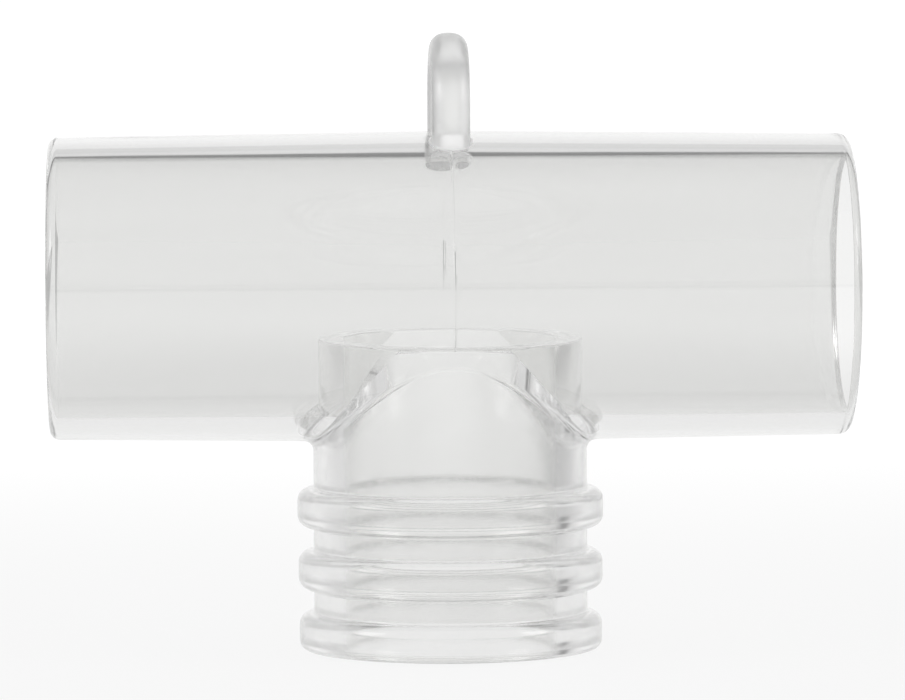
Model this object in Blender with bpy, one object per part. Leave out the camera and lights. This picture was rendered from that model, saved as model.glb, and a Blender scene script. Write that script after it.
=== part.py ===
"""A clear moulded tee connector: a plain tapered run, a ribbed branch and a hanging loop.

Metres, +Z up. The origin is the centre of the branch's bottom rim, on the plane that the tee stands on.
+X lies along the run, the branch hangs down from the run's middle, and the loop stands on top.

The real tee is a single moulding. Here each of its members is a closed solid of its own: the run parts
at its middle, where the two cores met, and the branch, its collar and the loop part from the run along
the run's outer skin or its bore. Neighbours keep a small gap.
"""

import math

import bmesh
import bpy

MM = 0.001
GAP = 0.3 * MM
SEGMENTS = 48
EDGE_STEPS = 4
CROWN_STEPS = 3
SLOPE_STEP = 0.01 * MM
SMOOTH_ANGLE = 35

# The run is a straight tube with a male cone at each end.
RUN_LENGTH = 58.3 * MM
RUN_END_RADIUS = 11.0 * MM
RUN_CONE = 1 / 40
RUN_BORE_RADIUS = 9.5 * MM
RUN_AXIS_HEIGHT = 26.5 * MM
RUN_EDGE_ROUND = 0.75 * MM
RUN_BORE_CHAMFER = 0.2 * MM

# The branch is a stub with a straight socket bore. A collar carries that bore on into the run.
BRANCH_RADIUS = 10.0 * MM
BRANCH_BORE_RADIUS = 7.65 * MM
BRANCH_BORE_CHAMFER = 0.3 * MM
SADDLE_FILLET = 0.8 * MM
COLLAR_RADIUS = 9.55 * MM
COLLAR_RIM_HEIGHT = 22.75 * MM
COLLAR_RIM_CHAMFER = 0.2 * MM
COLLAR_LEAST_WALL = 0.4 * MM

# The ribs ring the stub. The lowest one runs into the bottom rim, and each is a little wider than the
# one below it.
RIB_NAMES = ("rib_lower", "rib_middle", "rib_upper")
RIB_THICKNESS = 2.8 * MM
RIB_PITCH = 4.55 * MM
RIB_LOWEST_CENTRE = 1.3 * MM
RIB_LOWEST_RADIUS = 11.05 * MM
RIB_RADIUS_STEP = 0.06 * MM
RIB_ROUND = 0.9 * MM
RIB_RIM_ROUND = 0.75 * MM

# The loop is a rod bent into an arch, with its hole along the run. The rod's section is a circle that is
# squared off a little: an exponent of 2 would make it a true circle.
LOOP_ROD_RADIUS = 1.41 * MM
LOOP_ROD_EXPONENT = 2.4
LOOP_BEND_RADIUS = 3.89 * MM
LOOP_TOP_HEIGHT = 44.97 * MM
LOOP_ROD_SIDES = 24
LOOP_BEND_STEPS = 24
LOOP_LEG_STEPS = 3

RUN_HALF_LENGTH = RUN_LENGTH / 2
RUN_MID_RADIUS = RUN_END_RADIUS + RUN_HALF_LENGTH * RUN_CONE / 2
LOOP_BEND_HEIGHT = LOOP_TOP_HEIGHT - LOOP_ROD_RADIUS - LOOP_BEND_RADIUS


def clear_scene():
    """Empty the scene."""
    for old in list(bpy.data.objects):
        bpy.data.objects.remove(old, do_unlink=True)


def clear_plastic(name, tint, roughness):
    """A colourless moulded plastic that light passes through."""
    material = bpy.data.materials.new(name)
    material.use_nodes = True
    shader = material.node_tree.nodes["Principled BSDF"]
    shader.inputs["Base Color"].default_value = (*tint, 1.0)
    shader.inputs["Metallic"].default_value = 0.0
    shader.inputs["Roughness"].default_value = roughness
    shader.inputs["IOR"].default_value = 1.57
    shader.inputs["Transmission Weight"].default_value = 1.0
    return material


def finish_mesh(bm, name):
    """Turn a bmesh into a smooth shaded mesh with its faces pointing out."""
    bmesh.ops.recalc_face_normals(bm, faces=bm.faces)
    mesh = bpy.data.meshes.new(name)
    bm.to_mesh(mesh)
    bm.free()
    mesh.shade_smooth()
    mesh.set_sharp_from_angle(angle=math.radians(SMOOTH_ANGLE))
    return mesh


def add_object(name, mesh, material=None):
    """Put a mesh into the scene as a named object with a material of its own."""
    piece = bpy.data.objects.new(name, mesh)
    bpy.context.scene.collection.objects.link(piece)
    if material is not None:
        piece.data.materials.append(material)
    return piece


def add_cutter(name, mesh):
    """A shape that only cuts others."""
    cutter = add_object(name, mesh)
    cutter.hide_render = True
    cutter.display_type = "WIRE"
    return cutter


def cut(piece, cutter):
    """Take the cutter's shape out of a piece."""
    modifier = piece.modifiers.new("cut", "BOOLEAN")
    modifier.operation = "DIFFERENCE"
    modifier.solver = "EXACT"
    modifier.object = cutter


def arc(centre, radius, start, end, steps):
    """Points (r, z) on an arc, its two ends included, with the angles in degrees."""
    angles = [math.radians(start + (end - start) * i / steps) for i in range(steps + 1)]
    return [(centre[0] + radius * math.cos(a), centre[1] + radius * math.sin(a)) for a in angles]


def ring_mesh(name, outline_at):
    """A closed ring round the Z axis. outline_at(angle) is its closed outline (r, z) at that angle."""
    bm = bmesh.new()
    rings = []
    for i in range(SEGMENTS):
        angle = 2 * math.pi * i / SEGMENTS
        outline = outline_at(angle)
        rings.append([bm.verts.new((r * math.cos(angle), r * math.sin(angle), z)) for r, z in outline])
    count = len(rings[0])
    for i, ring in enumerate(rings):
        following = rings[(i + 1) % SEGMENTS]
        for j in range(count):
            k = (j + 1) % count
            bm.faces.new((ring[j], following[j], following[k], ring[k]))
    return finish_mesh(bm, name)


def run_skin_below(angle, radius, skin_radius, cone):
    """Height of the run's underside, at a distance and an angle from the branch's axis."""
    x = radius * math.cos(angle)
    y = radius * math.sin(angle)
    here = skin_radius - abs(x) * cone / 2
    return RUN_AXIS_HEIGHT - math.sqrt(here**2 - y**2)


def under_run(angle, radius):
    """Height of the top of the branch, a gap below the run's outer skin."""
    return run_skin_below(angle, radius, RUN_MID_RADIUS + GAP, RUN_CONE)


def over_bore_floor(angle, radius):
    """Height of the bottom of the collar, a gap above the floor of the run's bore."""
    return run_skin_below(angle, radius, RUN_BORE_RADIUS - GAP, 0)


def run_half_outline(_angle):
    """The wall of half the run, from the middle to the end, with z along the run."""
    end = RUN_HALF_LENGTH
    centre = (RUN_END_RADIUS - RUN_EDGE_ROUND, end - RUN_EDGE_ROUND)
    rounded = arc(centre, RUN_EDGE_ROUND, 0, 90, EDGE_STEPS)
    middle = [(RUN_BORE_RADIUS, GAP / 2), (RUN_MID_RADIUS, GAP / 2)]
    mouth = [
        (RUN_BORE_RADIUS + RUN_BORE_CHAMFER, end),
        (RUN_BORE_RADIUS, end - RUN_BORE_CHAMFER),
    ]
    return middle + rounded + mouth


def saddle_curve(angle):
    """The hollow curve by which the stub's outside flares out to the run's skin."""
    corner = under_run(angle, BRANCH_RADIUS)
    nearby = BRANCH_RADIUS + SLOPE_STEP
    slope = math.atan2(under_run(angle, nearby) - corner, nearby - BRANCH_RADIUS)
    tangent = SADDLE_FILLET * math.tan((math.pi / 2 - slope) / 2)
    reach = BRANCH_RADIUS + tangent * math.cos(slope)
    start = (BRANCH_RADIUS, corner - tangent)
    end = (reach, under_run(angle, reach))
    points = []
    for i in range(EDGE_STEPS + 1):
        t = i / EDGE_STEPS
        weights = ((1 - t) ** 2, 2 * t * (1 - t), t**2)
        r = weights[0] * start[0] + weights[1] * BRANCH_RADIUS + weights[2] * end[0]
        z = weights[0] * start[1] + weights[1] * corner + weights[2] * end[1]
        points.append((r, z))
    return points


def branch_outline(angle):
    """The wall of the stub, from the bottom rim up to the run's skin."""
    bottom = [(BRANCH_BORE_RADIUS + BRANCH_BORE_CHAMFER, 0), (BRANCH_RADIUS, 0)]
    half_way = (BRANCH_BORE_RADIUS + BRANCH_RADIUS) / 2
    top = [(r, under_run(angle, r)) for r in (BRANCH_RADIUS, half_way, BRANCH_BORE_RADIUS)]
    mouth = [(BRANCH_BORE_RADIUS, BRANCH_BORE_CHAMFER)]
    return bottom + saddle_curve(angle) + top + mouth


def collar_outline(angle):
    """The wall of the collar, from the floor of the run's bore up to its flat rim."""
    rim = COLLAR_RIM_HEIGHT
    drop = RUN_AXIS_HEIGHT - rim + COLLAR_LEAST_WALL
    room = math.sqrt((RUN_BORE_RADIUS - GAP) ** 2 - drop**2)
    across = abs(math.sin(angle))
    outer = min(COLLAR_RADIUS, room / across) if across > 0 else COLLAR_RADIUS
    half_way = (BRANCH_BORE_RADIUS + outer) / 2
    floor = [(r, over_bore_floor(angle, r)) for r in (BRANCH_BORE_RADIUS, half_way, outer)]
    edge = [(outer, rim - COLLAR_RIM_CHAMFER), (outer - COLLAR_RIM_CHAMFER, rim)]
    inner = [
        (BRANCH_BORE_RADIUS + COLLAR_RIM_CHAMFER, rim),
        (BRANCH_BORE_RADIUS, rim - COLLAR_RIM_CHAMFER),
    ]
    return floor + edge + inner


def turn_to_root(crown, rounding):
    """How far a crown's rounding turns, in degrees, before it meets the rib's root on the stub."""
    reach = BRANCH_RADIUS + GAP - (crown - rounding)
    return math.degrees(math.acos(reach / rounding))


def rib_outline(low, high, crown, low_round):
    """A rib's section. Both roundings of its crown run in to its straight root on the stub."""
    low_turn = turn_to_root(crown, low_round)
    high_turn = turn_to_root(crown, RIB_ROUND)
    lower = arc((crown - low_round, low + low_round), low_round, -low_turn, 0, CROWN_STEPS)
    upper = arc((crown - RIB_ROUND, high - RIB_ROUND), RIB_ROUND, 0, high_turn, CROWN_STEPS)
    return lower + upper


def rod_section():
    """The section of the loop's rod, as (x, side) points."""
    points = []
    for i in range(LOOP_ROD_SIDES):
        angle = 2 * math.pi * i / LOOP_ROD_SIDES
        x = math.cos(angle)
        side = math.sin(angle)
        spread = abs(x) ** LOOP_ROD_EXPONENT + abs(side) ** LOOP_ROD_EXPONENT
        radius = LOOP_ROD_RADIUS / spread ** (1 / LOOP_ROD_EXPONENT)
        points.append((radius * x, radius * side))
    return points


def swept_rod(name, stations):
    """A rod. Each station is its centre's (y, z) and the (y, z) direction of its outer side."""
    bm = bmesh.new()
    rings = []
    for centre, outward in stations:
        ring = []
        for x, side in rod_section():
            ring.append(bm.verts.new((x, centre[0] + side * outward[0], centre[1] + side * outward[1])))
        rings.append(ring)
    for ring, following in zip(rings, rings[1:]):
        for i in range(LOOP_ROD_SIDES):
            k = (i + 1) % LOOP_ROD_SIDES
            bm.faces.new((ring[i], following[i], following[k], ring[k]))
    bm.faces.new(rings[0])
    bm.faces.new(rings[-1])
    return finish_mesh(bm, name)


def loop_stations():
    """The loop's centre line: up one leg from inside the run's wall, round the bend and down the other."""
    foot = RUN_AXIS_HEIGHT + RUN_BORE_RADIUS
    heights = [foot + (LOOP_BEND_HEIGHT - foot) * i / LOOP_LEG_STEPS for i in range(LOOP_LEG_STEPS)]
    front = [((-LOOP_BEND_RADIUS, z), (-1, 0)) for z in heights]
    bend = []
    for i in range(LOOP_BEND_STEPS + 1):
        angle = math.pi - math.pi * i / LOOP_BEND_STEPS
        outward = (math.cos(angle), math.sin(angle))
        centre = (LOOP_BEND_RADIUS * outward[0], LOOP_BEND_HEIGHT + LOOP_BEND_RADIUS * outward[1])
        bend.append((centre, outward))
    back = [((LOOP_BEND_RADIUS, z), (1, 0)) for z in reversed(heights)]
    return front + bend + back


def round_bar(name, radius, length):
    """A plain cylinder about its own Z axis, centred on its origin."""
    bm = bmesh.new()
    bmesh.ops.create_cone(
        bm, cap_ends=True, segments=SEGMENTS, radius1=radius, radius2=radius, depth=length
    )
    return finish_mesh(bm, name)


def make_run():
    """The two halves of the run, with the branch's bore cut through the bottom of both."""
    bore = add_cutter("branch_bore_cutter", round_bar("branch_bore", BRANCH_BORE_RADIUS, RUN_BORE_RADIUS))
    bore.location.z = RUN_AXIS_HEIGHT - RUN_BORE_RADIUS
    for name, turn in (("run_left_half", -90), ("run_right_half", 90)):
        mesh = ring_mesh(name, run_half_outline)
        half = add_object(name, mesh, clear_plastic(name, (0.93, 0.94, 0.93), 0.04))
        half.location.z = RUN_AXIS_HEIGHT
        half.rotation_euler.y = math.radians(turn)
        cut(half, bore)


def make_branch():
    """The stub below the run and the collar inside it."""
    stub = clear_plastic("branch_tube", (0.92, 0.93, 0.92), 0.05)
    add_object("branch_tube", ring_mesh("branch_tube", branch_outline), stub)
    collar = clear_plastic("inner_collar", (0.94, 0.95, 0.94), 0.05)
    add_object("inner_collar", ring_mesh("inner_collar", collar_outline), collar)


def make_ribs():
    """The rings round the stub, from the bottom rim upwards."""
    for i, name in enumerate(RIB_NAMES):
        centre = RIB_LOWEST_CENTRE + i * RIB_PITCH
        low = max(centre - RIB_THICKNESS / 2, 0)
        crown = RIB_LOWEST_RADIUS + i * RIB_RADIUS_STEP
        low_round = RIB_RIM_ROUND if i == 0 else RIB_ROUND
        outline = rib_outline(low, centre + RIB_THICKNESS / 2, crown, low_round)
        mesh = ring_mesh(name, lambda _angle, points=outline: points)
        add_object(name, mesh, clear_plastic(name, (0.91, 0.92, 0.91), 0.06))


def make_loop():
    """The hanging loop, its feet cut to follow the top of the run."""
    skin = add_cutter("run_skin_cutter", round_bar("run_skin", RUN_MID_RADIUS + GAP, RUN_MID_RADIUS))
    skin.location.z = RUN_AXIS_HEIGHT
    skin.rotation_euler.y = math.radians(90)
    rod = swept_rod("hanging_loop", loop_stations())
    loop = add_object("hanging_loop", rod, clear_plastic("hanging_loop", (0.89, 0.90, 0.88), 0.08))
    cut(loop, skin)


clear_scene()
make_run()
make_branch()
make_ribs()
make_loop()
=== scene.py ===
"""The looks of a clear moulded tee connector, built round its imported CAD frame.

Metres, +Z up, the CAD's own frame. Each member of the moulding is a closed shell of curved patches with
exact normals, because clear plastic shows every fault in them. The members meet face to face. Those
mating faces let light pass straight through, so together the members look like the one moulding they are.
"""

import math

import bmesh
import bpy
import numpy as np
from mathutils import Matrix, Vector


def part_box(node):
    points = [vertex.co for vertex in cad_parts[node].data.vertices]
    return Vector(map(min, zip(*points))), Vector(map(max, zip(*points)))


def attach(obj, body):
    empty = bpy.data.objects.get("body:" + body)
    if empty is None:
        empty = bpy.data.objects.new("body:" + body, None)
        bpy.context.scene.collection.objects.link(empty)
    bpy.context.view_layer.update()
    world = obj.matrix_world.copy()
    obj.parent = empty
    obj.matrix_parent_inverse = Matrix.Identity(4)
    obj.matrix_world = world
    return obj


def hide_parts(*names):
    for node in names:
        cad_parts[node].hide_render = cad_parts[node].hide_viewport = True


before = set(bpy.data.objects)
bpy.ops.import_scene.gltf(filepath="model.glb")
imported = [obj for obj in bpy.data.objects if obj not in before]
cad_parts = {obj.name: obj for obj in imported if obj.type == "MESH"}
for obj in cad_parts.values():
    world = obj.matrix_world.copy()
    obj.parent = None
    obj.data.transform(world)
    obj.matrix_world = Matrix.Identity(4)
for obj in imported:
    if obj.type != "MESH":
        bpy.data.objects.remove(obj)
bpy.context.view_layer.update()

MM = 0.001

# Sizes that the frame gives
RUN_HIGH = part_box("run_right_half")[1]
RUN_HALF_LENGTH = RUN_HIGH[0]
RUN_MID_RADIUS = RUN_HIGH[1]
RUN_AXIS_HEIGHT = RUN_HIGH[2] - RUN_MID_RADIUS
COLLAR_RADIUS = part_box("inner_collar")[1][0]
COLLAR_RIM_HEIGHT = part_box("inner_collar")[1][2]
LOOP_ROD_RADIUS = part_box("hanging_loop")[1][0]
LOOP_BEND_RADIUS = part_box("hanging_loop")[1][1] - LOOP_ROD_RADIUS
LOOP_BEND_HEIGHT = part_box("hanging_loop")[1][2] - LOOP_ROD_RADIUS - LOOP_BEND_RADIUS
RIB_NAMES = ("rib_lower", "rib_middle", "rib_upper")

# Sizes that the frame's boxes don't hold
RUN_CONE = 1 / 40
RUN_BORE_RADIUS = 9.5 * MM
RUN_EDGE_ROUND = 0.75 * MM
RUN_MOUTH_ROUND = 0.2 * MM
BRANCH_RADIUS = 10.0 * MM
BRANCH_BORE_RADIUS = 7.65 * MM
BRANCH_MOUTH_ROUND = 0.3 * MM
SADDLE_FILLET = 0.8 * MM
COLLAR_EDGE_ROUND = 0.15 * MM
RIB_ROUND = 0.85 * MM
RIB_RIM_ROUND = 0.7 * MM
RIB_ROOT_FILLET = 0.18 * MM
LOOP_FOOT_FILLET = 0.2 * MM
LOOP_ROD_EXPONENT = 2.4
WITNESS_DEPTH = 0.035 * MM
WITNESS_WIDTH = 0.1 * MM

# How finely the patches are laid out
NEAR_LENGTH = 13 * MM
NEAR_SPREAD = math.radians(100)
FOOT_SPREAD = math.radians(40)
NEAR_STEPS = 22
RADIAL_STEPS = 14
ARC_STEPS = 8
SPREAD_STEP = math.radians(2)
GROOVE_STEPS = 3
CAP_STEPS = 4
ARCH_STEPS = 48
ROOT_STEPS = 4
SLOPE_STEP = 0.001 * MM
CROWDING = 1.5
WELD = 1e-8
NUDGE = 1e-6

# The two material slots of every shell
PLASTIC = 0
MATING = 1

# The plastic. The patterns' scales are in waves per metre.
PLASTIC_IOR = 1.57
CLOUD_SCALE = 160
CLOUD_DETAIL = 3
CLOUD_DEPTH = 0.975
RUBBING_STRETCH = (0.25, 1, 1)
RUBBING_SCALE = 1500
RUBBING_DETAIL = 4
FLOW_SCALE = 260
FLOW_DETAIL = 2
SCRATCH_STRETCH = (0.1, 1, 1)
SCRATCH_SCALE = 2500
SCRATCH_DETAIL = 2
SCRATCH_HEIGHT = 0.03

# The studio: a glowing pale floor and a white tent. Both are brightest behind the object. The floor's
# bright part widens with the distance behind the object, and its edges are soft.
FLOOR_REACH = 6.0
FLOOR_DROP = 0.2 * MM
FLOOR_TONE = 0.05
FLOOR_LEFT = 0.76
FLOOR_RIGHT = 0.57
FLOOR_MIDDLE = 0.90
FLOOR_SPREAD = 0.13
FLOOR_EDGE = (0.036, 0.10)
FLOOR_FAR = (0.03, 0.30)
FLOOR_ACROSS = (-0.05, 0.05)
FLOOR_BACK = 0.13
TENT_GLOW = 0.74
TENT_BACK = 0.32
TENT_BACK_HEIGHT = (0, 60)
TENT_BACK_WIDTH = (16, 50)
GAP_DEPTH = -0.58
GAP_WIDTH = (60, 110)
GAP_LOW = (42.5, 45.0)
GAP_HIGH = (50.0, 56.0)

# Panels in the tent: (azimuth to the right of +Y, elevation, half width, half height) in degrees, and how
# much light each adds or, where it is a black flag, takes away. The azimuth jumps from 180 to -180 straight
# in front of the object, so a panel there is measured by the angle without its sign.
STRAIGHT_IN_FRONT = 180
SOFT_EDGE = 6
PANELS = (
    (56, 0, 4, 40, -0.50),
    (STRAIGHT_IN_FRONT, 1.5, 40, 0.5, -0.3),
    (112, 22, 8, 8, 2.6),
    (-112, 22, 8, 8, 2.6),
)

# The camera: a long lens, a little left of square on and a little above
CAMERA_LENS = 242.53
CAMERA_SENSOR = 36.0
CAMERA_NEAREST = 0.01
CAMERA_YAW = math.radians(2.29)
CAMERA_RISE = math.radians(3.61)
CAMERA_ROLL = math.radians(0.26)
CAMERA_AWAY = 0.445
CAMERA_TARGET = (0.337 * MM, 0, 21.833 * MM)


class Shell:
    """Curved patches that make up one closed mesh. Every corner keeps its own patch's normal."""

    def __init__(self):
        self.points = []
        self.found = {}
        self.faces = []
        self.normals = []
        self.slots = []

    def corner(self, point):
        """The number of the vertex at a point."""
        key = tuple(int(round(c / WELD)) for c in point)
        if key not in self.found:
            self.found[key] = len(self.points)
            self.points.append(tuple(point))
        return self.found[key]

    def face(self, corners, normals, slot):
        """One face. Corners that coincide are dropped, and so is a face that has no area."""
        kept = [i for i in range(len(corners)) if corners[i] != corners[i - 1]]
        if len({corners[i] for i in kept}) < 3:
            return
        self.faces.append([corners[i] for i in kept])
        self.normals.append([normals[i] for i in kept])
        self.slots.append(slot)

    def patch(self, surface, us, vs, slot=PLASTIC):
        """A grid of faces on a surface. us and vs are the surface's parameters at each grid point."""
        points = surface(us, vs)
        along_u = surface(us + NUDGE, vs) - surface(us - NUDGE, vs)
        along_v = surface(us, vs + NUDGE) - surface(us, vs - NUDGE)
        normals = np.cross(along_u, along_v)
        normals /= np.maximum(np.linalg.norm(normals, axis=-1, keepdims=True), 1e-30)
        ids = [[self.corner(p) for p in row] for row in points]
        for i in range(len(ids) - 1):
            for j in range(len(ids[0]) - 1):
                ring = ((i, j), (i + 1, j), (i + 1, j + 1), (i, j + 1))
                self.face([ids[a][b] for a, b in ring], [normals[a, b] for a, b in ring], slot)

    def zip_rows(self, first, second, normal, slot):
        """A flat band of triangles between two rows of vertices."""
        i = j = 0
        while i < len(first) - 1 or j < len(second) - 1:
            ahead = (i + 1) / len(first) <= (j + 1) / len(second)
            if j == len(second) - 1 or (ahead and i < len(first) - 1):
                self.face([first[i], first[i + 1], second[j]], [normal] * 3, slot)
                i += 1
            else:
                self.face([first[i], second[j + 1], second[j]], [normal] * 3, slot)
                j += 1

    def turned_round(self):
        """The same shell turned half a turn about the Z axis."""
        other = Shell()
        other.points = [(-x, -y, z) for x, y, z in self.points]
        other.faces = self.faces
        other.normals = [[n * (-1, -1, 1) for n in face] for face in self.normals]
        other.slots = self.slots
        return other


def stack(x, y, z):
    """Points from arrays of coordinates."""
    return np.stack(np.broadcast_arrays(x, y, z), axis=-1).astype(float)


def grid(us, vs):
    """The two parameters at every point of a plain grid."""
    return np.meshgrid(us, vs, indexing="ij")


# The run's two long surfaces, by the place along the run and the angle round from straight down


def skin_radius(x):
    """The run's outer radius, which falls towards both ends."""
    return RUN_MID_RADIUS - np.abs(x) * RUN_CONE / 2


def bore_radius(x):
    """The run's bore, with the shallow witness groove where the two mould cores met."""
    near = np.clip(1 - np.abs(x) / WITNESS_WIDTH, 0, 1)
    return RUN_BORE_RADIUS + WITNESS_DEPTH * near


def on_run(radius):
    """The surface of revolution about the run's axis that has this radius."""

    def surface(x, turn):
        r = radius(x)
        return stack(x, r * np.sin(turn), RUN_AXIS_HEIGHT - r * np.cos(turn))

    return surface


on_skin = on_run(skin_radius)
on_bore = on_run(bore_radius)


def under_side(radius_at, radius, turn):
    """Height of one of those surfaces over a point at a distance and an angle from the branch's axis."""
    y = radius * np.sin(turn)
    return RUN_AXIS_HEIGHT - np.sqrt(radius_at(radius * np.cos(turn)) ** 2 - y**2)


def skin_over(radius, turn):
    """Height of the run's underside."""
    return under_side(skin_radius, radius, turn)


def floor_over(radius, turn):
    """Height of the floor of the run's bore."""
    return under_side(bore_radius, radius, turn)


def skin_at_foot(radius, turn):
    """Height of the run's top at a distance and an angle from the axis of the loop's back leg."""
    y = LOOP_BEND_RADIUS + radius * np.sin(turn)
    return RUN_AXIS_HEIGHT + np.sqrt(skin_radius(radius * np.cos(turn)) ** 2 - y**2)


def flare(radius, turn, height, fillet, way):
    """Three points (radius, height) of a fillet between an upright wall and a skin.

    way is 1 for a wall below the skin and -1 for one above it.
    """
    meets = height(radius, turn)
    slope = np.arctan2(height(radius + SLOPE_STEP, turn) - meets, SLOPE_STEP)
    tangent = fillet * np.tan((math.pi / 2 - way * slope) / 2)
    reach = radius + tangent * np.cos(slope)
    return (radius, meets - way * tangent), (radius, meets), (reach, height(reach, turn))


def saddle(turn):
    """The fillet between the branch and the run."""
    return flare(BRANCH_RADIUS, turn, skin_over, SADDLE_FILLET, 1)


def rod_radius(turn):
    """The radius of the loop's rod, whose section is a circle that is squared off a little."""
    spread = np.abs(np.cos(turn)) ** LOOP_ROD_EXPONENT + np.abs(np.sin(turn)) ** LOOP_ROD_EXPONENT
    return LOOP_ROD_RADIUS / spread ** (1 / LOOP_ROD_EXPONENT)


def foot(turn):
    """The fillet between the loop's leg and the run."""
    return flare(rod_radius(turn), turn, skin_at_foot, LOOP_FOOT_FILLET, -1)


def collar_foot(turn):
    """Where the collar's outside meets the run's bore: (radius, height)."""
    drop = RUN_AXIS_HEIGHT - COLLAR_RIM_HEIGHT + COLLAR_EDGE_ROUND
    room = math.sqrt(RUN_BORE_RADIUS**2 - drop**2)
    radius = np.minimum(COLLAR_RADIUS, room / np.maximum(np.abs(np.sin(turn)), 0.1))
    return radius, floor_over(radius, turn)


# Sections. Each is a function of the angle round the axis and of t, from 0 to 1 along the section.


def line(start, end):
    """A straight section between two ends, each a pair (radius, height) or a function of the angle."""

    def section(turn, t):
        a = start(turn) if callable(start) else start
        b = end(turn) if callable(end) else end
        return a[0] + (b[0] - a[0]) * t, a[1] + (b[1] - a[1]) * t

    return section


def arc(centre, radius, start, end):
    """A round section, with its angles in degrees."""

    def section(turn, t):
        angle = np.radians(start + (end - start) * t)
        return centre[0] + radius * np.cos(angle), centre[1] + radius * np.sin(angle)

    return section


def bend(points_at):
    """A smooth section through a fillet's first and last point, turned by its middle one."""

    def section(turn, t):
        a, b, c = points_at(turn)
        mixed = [(1 - t) ** 2 * a[i] + 2 * t * (1 - t) * b[i] + t**2 * c[i] for i in (0, 1)]
        return mixed[0], mixed[1]

    return section


def about_branch(section):
    """The surface that a section sweeps round the branch's axis."""

    def surface(turn, t):
        radius, height = section(turn, t)
        return stack(radius * np.cos(turn), radius * np.sin(turn), height)

    return surface


def about_leg(section, side):
    """The surface that a section sweeps round one of the loop's legs. side is 1 for the back leg."""

    def surface(turn, t):
        radius, height = section(turn, t)
        return stack(radius * np.cos(turn), side * (LOOP_BEND_RADIUS + radius * np.sin(turn)), height)

    return surface


# The layout round the openings in the run's skin and bore


def near_stations():
    """Distances from the run's middle, close together across the witness groove."""
    fine = np.linspace(0, WITNESS_WIDTH, GROOVE_STEPS + 1)
    return np.concatenate([fine, np.linspace(WITNESS_WIDTH, NEAR_LENGTH, NEAR_STEPS + 1)[1:]])


def even_turns(low, high):
    """Evenly spaced angles round the run, both ends included."""
    return np.linspace(low, high, int(round((high - low) / SPREAD_STEP)) + 1)


def border(low, high):
    """Points (x, turn) round three sides of a rectangle whose fourth side is the run's middle."""
    xs = near_stations()
    turns = even_turns(low, high)
    out = [(x, low) for x in xs]
    across = [(NEAR_LENGTH, turn) for turn in turns[1:-1]]
    back = [(x, high) for x in xs[::-1]]
    return np.array(out + across + back)


BRANCH_BORDER = border(-NEAR_SPREAD, NEAR_SPREAD)
BRANCH_HALF = np.arctan2(BRANCH_BORDER[:, 1] * RUN_MID_RADIUS, BRANCH_BORDER[:, 0])
BRANCH_ROUND = np.concatenate([BRANCH_HALF, math.pi - BRANCH_HALF[::-1][1:]])

FOOT_TURN = math.pi - math.asin(LOOP_BEND_RADIUS / RUN_MID_RADIUS)
FOOT_BORDER = border(math.pi - FOOT_SPREAD, math.pi)[::-1]
FOOT_HALF = np.arctan2((FOOT_TURN - FOOT_BORDER[:, 1]) * RUN_MID_RADIUS, FOOT_BORDER[:, 0])
FOOT_ROUND = np.concatenate([FOOT_HALF, math.pi - FOOT_HALF[::-1][1:]])


def between(inner, outer, steps):
    """The parameters of a patch that runs from an inner curve out to a border, crowded at the curve."""
    t = np.linspace(0, 1, steps + 1)[None, :] ** CROWDING
    xs = inner[0][:, None] * (1 - t) + outer[:, 0][:, None] * t
    turns = inner[1][:, None] * (1 - t) + outer[:, 1][:, None] * t
    return xs, turns


def skin_place(x, y, top):
    """A point of the skin given in plan, as (x, turn)."""
    turn = np.arcsin(y / skin_radius(x))
    return x, math.pi - turn if top else turn


def branch_hole_in_skin():
    """The edge of the saddle fillet on the run's skin."""
    radius = saddle(BRANCH_HALF)[2][0]
    return skin_place(radius * np.cos(BRANCH_HALF), radius * np.sin(BRANCH_HALF), False)


def branch_hole_in_bore():
    """The edge of the collar on the run's bore."""
    radius = collar_foot(BRANCH_HALF)[0]
    x = radius * np.cos(BRANCH_HALF)
    return x, np.arcsin(radius * np.sin(BRANCH_HALF) / bore_radius(x))


def foot_on_skin():
    """The edge of the loop's foot on the run's skin."""
    radius = foot(FOOT_HALF)[2][0]
    y = LOOP_BEND_RADIUS + radius * np.sin(FOOT_HALF)
    return skin_place(radius * np.cos(FOOT_HALF), y, True)


def mirrored(surface):
    """The same surface on the other side of the plane through the run and the branch."""

    def other(x, turn):
        return surface(x, turn) * (1, -1, 1)

    return other


def foot_cap(side):
    """The part of the run's skin that a leg of the loop covers."""

    def surface(turn, t):
        radius = foot(turn)[2][0] * t
        height = skin_at_foot(radius, turn)
        return stack(radius * np.cos(turn), side * (LOOP_BEND_RADIUS + radius * np.sin(turn)), height)

    return surface


def through_wall(turn, t):
    """The parting face between the run and the branch, through the run's wall."""
    return line(lambda a: saddle(a)[2], collar_foot)(turn, t)


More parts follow.
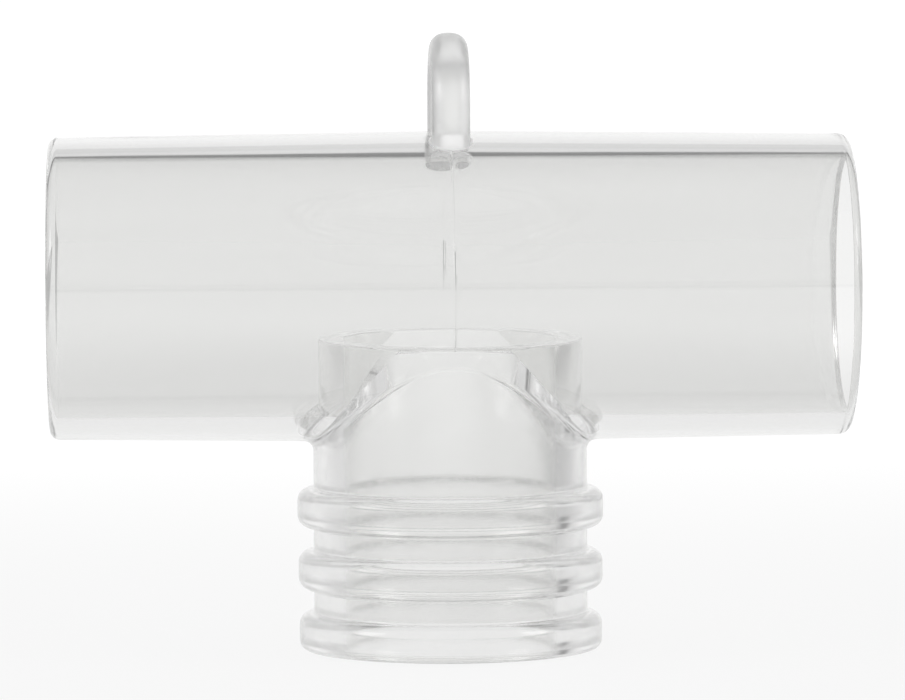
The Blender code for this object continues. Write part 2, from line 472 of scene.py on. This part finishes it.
def run_half():
    """The right half of the run."""
    shell = Shell()
    xs = near_stations()
    wide = even_turns(-NEAR_SPREAD, NEAR_SPREAD)
    shell.patch(on_skin, *between(branch_hole_in_skin(), BRANCH_BORDER, RADIAL_STEPS))
    shell.patch(on_bore, *between(branch_hole_in_bore(), BRANCH_BORDER, RADIAL_STEPS))
    side_turns = even_turns(NEAR_SPREAD, math.pi - FOOT_SPREAD)
    top_turns = even_turns(math.pi - FOOT_SPREAD, math.pi)
    caps = np.linspace(0, 1, CAP_STEPS + 1)
    for side, turned in ((1, lambda s: s), (-1, mirrored)):
        shell.patch(turned(on_skin), *grid(xs, side_turns))
        shell.patch(turned(on_skin), *between(foot_on_skin(), FOOT_BORDER, RADIAL_STEPS))
        shell.patch(foot_cap(side), *grid(FOOT_HALF, caps), MATING)
        shell.patch(turned(on_bore), *grid(xs, side_turns))
        shell.patch(turned(on_bore), *grid(xs, top_turns))
    around = np.concatenate([wide, side_turns[1:], top_turns[1:]])
    around = np.concatenate([around, 2 * math.pi - top_turns[::-1][1:], 2 * math.pi - side_turns[::-1][1:]])
    end = RUN_HALF_LENGTH
    end_radius = skin_radius(end)
    edge = RUN_EDGE_ROUND
    mouth = RUN_MOUTH_ROUND
    shell.patch(on_skin, *grid(np.linspace(NEAR_LENGTH, end - edge, 4), around))
    shell.patch(on_bore, *grid(np.linspace(NEAR_LENGTH, end - mouth, 4), around))

    def about_run(section):
        def surface(turn, t):
            radius, x = section(turn, t)
            return stack(x, radius * np.sin(turn), RUN_AXIS_HEIGHT - radius * np.cos(turn))

        return surface

    start_radius = skin_radius(end - edge)
    inner = end_radius - edge
    drop = start_radius - inner

    def rounded(turn, t):
        angle = t * math.pi / 2
        return inner + drop * np.cos(angle), end - edge + edge * np.sin(angle)

    steps = np.linspace(0, 1, ARC_STEPS + 1)
    shell.patch(about_run(rounded), *grid(around, steps))
    shell.patch(about_run(line((inner, end), (RUN_BORE_RADIUS + mouth, end))), *grid(around, [0.0, 1.0]))
    lip = arc((RUN_BORE_RADIUS + mouth, end - mouth), mouth, 90, 180)
    shell.patch(about_run(lip), *grid(around, steps))
    shell.patch(about_branch(through_wall), *grid(BRANCH_HALF, [0.0, 1.0]), MATING)
    close_middle(shell)
    return shell


def close_middle(shell):
    """Close a half of the run with the flat ring at the run's middle."""
    outer, inner = [], []
    halfway = (RUN_MID_RADIUS + RUN_BORE_RADIUS) / 2
    for i, (x, y, z) in enumerate(shell.points):
        if abs(x) < WELD:
            turn = math.atan2(y, RUN_AXIS_HEIGHT - z) % (2 * math.pi)
            row = outer if math.hypot(y, z - RUN_AXIS_HEIGHT) > halfway else inner
            row.append((turn, i))
    rows = [[i for _, i in sorted(row)] for row in (outer, inner)]
    shell.zip_rows(rows[0], rows[1], np.array((-1.0, 0.0, 0.0)), MATING)


def add_bands(shell, bands, place, turns):
    """Sweep a list of (section, steps, slot) round an axis."""
    for section, steps, slot in bands:
        shell.patch(place(section), *grid(turns, np.linspace(0, 1, steps + 1)), slot)


def rib_sizes():
    """The lowest and highest point and the crown's radius of each rib, from the bottom up."""
    boxes = [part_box(name) for name in RIB_NAMES]
    return [(low[2], high[2], high[0]) for low, high in boxes]


def rib_root(i):
    """The stretch of the stub that a rib covers, its root fillets included."""
    low, high, _ = rib_sizes()[i]
    return (low if i == 0 else low - RIB_ROOT_FILLET), high + RIB_ROOT_FILLET


def branch():
    """The stub, with the part of the run's wall that it passes through."""
    shell = Shell()
    bore = BRANCH_BORE_RADIUS
    mouth = BRANCH_MOUTH_ROUND
    wall = BRANCH_RADIUS
    bands = [
        (arc((bore + mouth, mouth), mouth, 180, 270), 5, PLASTIC),
        (line((bore + mouth, 0), (wall, 0)), 2, PLASTIC),
    ]
    for i in range(len(RIB_NAMES)):
        low, high = rib_root(i)
        bands.append((line((wall, low), (wall, high)), 2, MATING))
        if i + 1 < len(RIB_NAMES):
            bands.append((line((wall, high), (wall, rib_root(i + 1)[0])), 2, PLASTIC))
    bands += [
        (line((wall, rib_root(2)[1]), lambda a: saddle(a)[0]), 6, PLASTIC),
        (bend(saddle), ARC_STEPS, PLASTIC),
        (through_wall, 1, MATING),
        (line(collar_foot, lambda a: (bore, floor_over(bore, a))), 1, MATING),
        (line(lambda a: (bore, floor_over(bore, a)), (bore, mouth)), 6, PLASTIC),
    ]
    add_bands(shell, bands, about_branch, BRANCH_ROUND)
    return shell


def collar():
    """The ring that carries the branch's bore up into the run."""
    shell = Shell()
    bore = BRANCH_BORE_RADIUS
    edge = COLLAR_EDGE_ROUND
    rim = COLLAR_RIM_HEIGHT

    def outer_edge(turn, t):
        angle = t * math.pi / 2
        return collar_foot(turn)[0] - edge + edge * np.cos(angle), rim - edge + edge * np.sin(angle)

    bands = [
        (line(lambda a: (bore, floor_over(bore, a)), collar_foot), 1, MATING),
        (line(collar_foot, lambda a: (collar_foot(a)[0], rim - edge)), 3, PLASTIC),
        (outer_edge, 4, PLASTIC),
        (line(lambda a: (collar_foot(a)[0] - edge, rim), (bore + edge, rim)), 2, PLASTIC),
        (arc((bore + edge, rim - edge), edge, 90, 180), 4, PLASTIC),
        (line((bore, rim - edge), lambda a: (bore, floor_over(bore, a))), 3, PLASTIC),
    ]
    add_bands(shell, bands, about_branch, BRANCH_ROUND)
    return shell


def rib(i):
    """One rib, with a small fillet at its root above and below."""
    low, high, crown = rib_sizes()[i]
    root_low, root_high = rib_root(i)
    wall = BRANCH_RADIUS
    fillet = RIB_ROOT_FILLET
    under = RIB_RIM_ROUND if i == 0 else RIB_ROUND
    over = RIB_ROUND
    bands = [(line((wall, root_high), (wall, root_low)), 1, MATING)]
    if i > 0:
        bands.append((arc((wall + fillet, low - fillet), fillet, 180, 90), ROOT_STEPS, PLASTIC))
    flat_start = wall if i == 0 else wall + fillet
    bands += [
        (line((flat_start, low), (crown - under, low)), 1, PLASTIC),
        (arc((crown - under, low + under), under, -90, 0), ARC_STEPS, PLASTIC),
        (line((crown, low + under), (crown, high - over)), 2, PLASTIC),
        (arc((crown - over, high - over), over, 0, 90), ARC_STEPS, PLASTIC),
        (line((crown - over, high), (wall + fillet, high)), 1, PLASTIC),
        (arc((wall + fillet, high + fillet), fillet, 270, 180), ROOT_STEPS, PLASTIC),
    ]
    shell = Shell()
    add_bands(shell, bands, about_branch, BRANCH_ROUND)
    return shell


def loop():
    """The hanging loop, its feet flared out onto the run."""
    shell = Shell()
    top = LOOP_BEND_HEIGHT
    for side in (1, -1):
        bands = [
            (bend(foot), ARC_STEPS, PLASTIC),
            (line(lambda a: foot(a)[0], lambda a: (rod_radius(a), top)), 4, PLASTIC),
        ]
        add_bands(shell, bands, lambda section, s=side: about_leg(section, s), FOOT_ROUND)
        shell.patch(foot_cap(side), *grid(FOOT_ROUND, np.linspace(0, 1, CAP_STEPS + 1)), MATING)

    def arch(turn, lean):
        rod = rod_radius(turn)
        reach = LOOP_BEND_RADIUS + rod * np.sin(turn)
        return stack(rod * np.cos(turn), reach * np.cos(lean), top + reach * np.sin(lean))

    shell.patch(arch, *grid(FOOT_ROUND, np.linspace(0, math.pi, ARCH_STEPS + 1)))
    return shell


def place(name, shell, finish, slot_name, *nodes):
    """Turn a shell into a piece that stands for CAD nodes. finish holds its two materials."""
    mesh = bpy.data.meshes.new(name)
    mesh.from_pydata(shell.points, [], shell.faces)
    for material in finish:
        mesh.materials.append(material)
    mesh.polygons.foreach_set("material_index", shell.slots)
    mesh.polygons.foreach_set("use_smooth", [True] * len(shell.faces))
    point_out(mesh)
    set_normals(mesh, shell)
    piece = bpy.data.objects.new(name, mesh)
    bpy.context.scene.collection.objects.link(piece)
    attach(piece, "root")
    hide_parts(*nodes)
    return piece


def point_out(mesh):
    """Turn every face of a closed mesh outwards."""
    bm = bmesh.new()
    bm.from_mesh(mesh)
    bmesh.ops.recalc_face_normals(bm, faces=bm.faces)
    bm.to_mesh(mesh)
    bm.free()


def set_normals(mesh, shell):
    """Give every corner its patch's own normal, on the side that its face looks to."""
    normals = []
    for polygon, corners, given in zip(mesh.polygons, shell.faces, shell.normals):
        wanted = dict(zip(corners, given))
        way = np.array(polygon.normal)
        for corner in polygon.vertices:
            normal = wanted[corner]
            length = np.linalg.norm(normal)
            if length < 0.5:
                normal = way
            normals.append(normal if normal @ way >= 0 else -normal)
    mesh.normals_split_custom_set(normals)
    mesh.update()


# Materials


def new_material(name):
    """A node material and its Principled shader."""
    material = bpy.data.materials.new(name)
    material.use_nodes = True
    return material, material.node_tree.nodes["Principled BSDF"]


def stretched_noise(tree, stretch, scale, detail):
    """A noise pattern fixed to the object, stretched along X where the first stretch is small."""
    coordinates = tree.nodes.new("ShaderNodeTexCoord")
    mapping = tree.nodes.new("ShaderNodeMapping")
    mapping.inputs["Scale"].default_value = stretch
    noise = tree.nodes.new("ShaderNodeTexNoise")
    noise.inputs["Scale"].default_value = scale
    noise.inputs["Detail"].default_value = detail
    tree.links.new(coordinates.outputs["Object"], mapping.inputs["Vector"])
    tree.links.new(mapping.outputs["Vector"], noise.inputs["Vector"])
    return noise.outputs["Fac"]


def clear_plastic(name, look):
    """Clear moulded plastic: cloudy by a trace, with flow marks from the moulding and fine rubbing."""
    material, shader = new_material(name)
    tree = material.node_tree
    number = NodeMaths(tree)
    cloud = stretched_noise(tree, look["flow"], CLOUD_SCALE, CLOUD_DETAIL)
    mix = tree.nodes.new("ShaderNodeMix")
    mix.data_type = "RGBA"
    tree.links.new(number.fade(cloud, 0.3, 0.7, 0.0, 1.0), mix.inputs["Factor"])
    # The tint is the plastic's own colour plus a painted lighter or darker tone, set member by member.
    mix.inputs["A"].default_value = (*look["tint"], 1)
    mix.inputs["B"].default_value = (*[c * CLOUD_DEPTH for c in look["tint"]], 1)
    tree.links.new(mix.outputs["Result"], shader.inputs["Base Color"])
    rubbing = stretched_noise(tree, RUBBING_STRETCH, RUBBING_SCALE, RUBBING_DETAIL)
    low, high = look["roughness"]
    tree.links.new(number.fade(rubbing, 0.45, 0.75, low, high), shader.inputs["Roughness"])
    flow = stretched_noise(tree, look["flow"], FLOW_SCALE, FLOW_DETAIL)
    scratches = stretched_noise(tree, SCRATCH_STRETCH, SCRATCH_SCALE, SCRATCH_DETAIL)
    height = number.total(flow, number.product(scratches, SCRATCH_HEIGHT))
    bump = tree.nodes.new("ShaderNodeBump")
    bump.inputs["Strength"].default_value = 1.0
    bump.inputs["Distance"].default_value = look["wave"]
    tree.links.new(height, bump.inputs["Height"])
    tree.links.new(bump.outputs["Normal"], shader.inputs["Normal"])
    shader.inputs["IOR"].default_value = PLASTIC_IOR
    shader.inputs["Transmission Weight"].default_value = 1.0
    return material


def mating_face():
    """A parting face inside the moulding, where light passes straight on."""
    material, shader = new_material("mating_face")
    shader.inputs["Alpha"].default_value = 0.0
    return material


# Stage


class NodeMaths:
    """Short ways to add nodes that work out one number from others."""

    def __init__(self, tree):
        self.tree = tree

    def place(self, output):
        """The x, y and z of a texture coordinate."""
        coordinates = self.tree.nodes.new("ShaderNodeTexCoord")
        split = self.tree.nodes.new("ShaderNodeSeparateXYZ")
        self.tree.links.new(coordinates.outputs[output], split.inputs[0])
        return split.outputs

    def wire(self, value, socket):
        """Give a socket a plain number or another node's output."""
        if isinstance(value, (int, float)):
            socket.default_value = value
        else:
            self.tree.links.new(value, socket)

    def maths(self, operation, first, second=0.0):
        """One arithmetic step."""
        node = self.tree.nodes.new("ShaderNodeMath")
        node.operation = operation
        self.wire(first, node.inputs[0])
        self.wire(second, node.inputs[1])
        return node.outputs[0]

    def product(self, *factors):
        """Several numbers multiplied together."""
        total = factors[0]
        for factor in factors[1:]:
            total = self.maths("MULTIPLY", total, factor)
        return total

    def total(self, *terms):
        """Several numbers added up."""
        total = terms[0]
        for term in terms[1:]:
            total = self.maths("ADD", total, term)
        return total

    def fade(self, value, start, end, first=1.0, last=0.0):
        """A soft change from one number at a start to another at an end."""
        node = self.tree.nodes.new("ShaderNodeMapRange")
        node.interpolation_type = "SMOOTHSTEP"
        self.wire(value, node.inputs["Value"])
        for name, number in (("From Min", start), ("From Max", end), ("To Min", first), ("To Max", last)):
            node.inputs[name].default_value = number
        return node.outputs["Result"]


def make_floor():
    """A plain pale floor that glows, so that the object throws hardly any shadow on it."""
    size = FLOOR_REACH
    corners = [(-size, -size, 0), (size, -size, 0), (size, size, 0), (-size, size, 0)]
    mesh = bpy.data.meshes.new("floor")
    mesh.from_pydata(corners, [], [(0, 1, 2, 3)])
    floor = bpy.data.objects.new("floor", mesh)
    floor.location.z = -FLOOR_DROP
    bpy.context.scene.collection.objects.link(floor)
    material, shader = new_material("floor_white")
    number = NodeMaths(material.node_tree)
    x, y, _ = number.place("Object")
    widening = number.product(number.maths("ABSOLUTE", y), -FLOOR_SPREAD)
    aside = number.total(number.maths("ABSOLUTE", x), widening)
    middle = number.fade(aside, *FLOOR_EDGE)
    back = number.fade(y, *FLOOR_FAR, FLOOR_MIDDLE, FLOOR_MIDDLE + FLOOR_BACK)
    sides = number.fade(x, *FLOOR_ACROSS, FLOOR_LEFT, FLOOR_RIGHT)
    away = number.total(number.product(middle, -1.0), 1.0)
    glow = number.total(number.product(middle, back), number.product(away, sides))
    shader.inputs["Base Color"].default_value = (FLOOR_TONE, FLOOR_TONE, FLOOR_TONE, 1)
    shader.inputs["Roughness"].default_value = 1.0
    shader.inputs["Specular IOR Level"].default_value = 0.0
    shader.inputs["Emission Color"].default_value = (1, 1, 1, 1)
    number.wire(glow, shader.inputs["Emission Strength"])
    mesh.materials.append(material)


def make_world():
    """The tent. It fades to the sides, and behind the object a dark gap parts its wall from its roof."""
    world = bpy.data.worlds.new("studio")
    world.use_nodes = True
    tree = world.node_tree
    number = NodeMaths(tree)
    x, y, z = number.place("Generated")
    azimuth = number.maths("DEGREES", number.maths("ARCTAN2", x, y))
    elevation = number.maths("DEGREES", number.maths("ARCSINE", z))
    aside = number.maths("ABSOLUTE", azimuth)
    back = number.fade(elevation, *TENT_BACK_HEIGHT)
    back = number.product(back, number.fade(aside, *TENT_BACK_WIDTH), TENT_BACK)
    gap = number.product(number.fade(elevation, *GAP_LOW, 0.0, 1.0), number.fade(elevation, *GAP_HIGH))
    gap = number.product(gap, number.fade(aside, *GAP_WIDTH), GAP_DEPTH)
    light = number.total(back, gap, TENT_GLOW)
    for turn, rise, half_width, half_height, gain in PANELS:
        from_middle = aside if turn == STRAIGHT_IN_FRONT else azimuth
        off = number.maths("ABSOLUTE", number.total(from_middle, -turn))
        up = number.maths("ABSOLUTE", number.total(elevation, -rise))
        edge = min(SOFT_EDGE, 2 * half_height)
        across = number.fade(off, half_width, half_width + SOFT_EDGE)
        upright = number.fade(up, half_height, half_height + edge)
        light = number.total(light, number.product(across, upright, gain))
    background = tree.nodes["Background"]
    background.inputs["Color"].default_value = (1, 1, 1, 1)
    tree.links.new(light, background.inputs["Strength"])
    bpy.context.scene.world = world


def make_camera():
    """The camera, turned to its target."""
    scene = bpy.context.scene
    data = bpy.data.cameras.new("camera")
    data.sensor_width = CAMERA_SENSOR
    data.lens = CAMERA_LENS
    data.clip_start = CAMERA_NEAREST
    camera = bpy.data.objects.new("camera", data)
    scene.collection.objects.link(camera)
    level = math.cos(CAMERA_RISE)
    back = (-math.sin(CAMERA_YAW) * level, -math.cos(CAMERA_YAW) * level, math.sin(CAMERA_RISE))
    camera.location = np.array(CAMERA_TARGET) + CAMERA_AWAY * np.array(back)
    camera.rotation_euler = (math.pi / 2 - CAMERA_RISE, CAMERA_ROLL, -CAMERA_YAW)
    scene.camera = camera


def set_light_paths():
    """Enough bounces for light to pass through all the walls, and to run along inside one of them."""
    scene = bpy.context.scene
    scene.view_settings.view_transform = "Standard"
    scene.cycles.max_bounces = 96
    scene.cycles.transmission_bounces = 64
    scene.cycles.glossy_bounces = 64
    scene.cycles.transparent_max_bounces = 48


mating = mating_face()
# All members are the same plastic. Their different tints are painted light and shade: the branch, ribs,
# loop and collar are each tinted lighter than the run, by their own amounts, to stand in for how the light
# falls through their walls.
plastics = {
    "clear_run": {
        "tint": (0.872, 0.873, 0.867),
        "roughness": (0.01, 0.05),
        "flow": (0.12, 1, 1),
        "wave": 0.010 * MM,
    },
    "clear_branch": {
        "tint": (0.896, 0.897, 0.891),
        "roughness": (0.09, 0.17),
        "flow": (1, 1, 0.3),
        "wave": 0.014 * MM,
    },
    "clear_collar": {
        "tint": (0.975, 0.976, 0.971),
        "roughness": (0.03, 0.09),
        "flow": (1, 1, 0.3),
        "wave": 0.012 * MM,
    },
    "clear_ribs": {
        "tint": (0.915, 0.916, 0.910),
        "roughness": (0.14, 0.20),
        "flow": (0.5, 0.5, 1),
        "wave": 0.016 * MM,
    },
    "clear_loop": {
        "tint": (0.965, 0.966, 0.960),
        "roughness": (0.32, 0.40),
        "flow": (1, 1, 0.3),
        "wave": 0.016 * MM,
    },
}
finish = {name: (clear_plastic(name, look), mating) for name, look in plastics.items()}
right = run_half()
place("moulded_run_right", right, finish["clear_run"], "clear_run", "run_right_half")
place("moulded_run_left", right.turned_round(), finish["clear_run"], "clear_run", "run_left_half")
place("moulded_branch", branch(), finish["clear_branch"], "clear_branch", "branch_tube")
place("moulded_collar", collar(), finish["clear_collar"], "clear_branch", "inner_collar")
for number, rib_name in enumerate(RIB_NAMES):
    place("moulded_" + rib_name, rib(number), finish["clear_ribs"], "clear_ribs", rib_name)
place("moulded_loop", loop(), finish["clear_loop"], "clear_loop", "hanging_loop")

make_floor()
make_world()
make_camera()
set_light_paths()
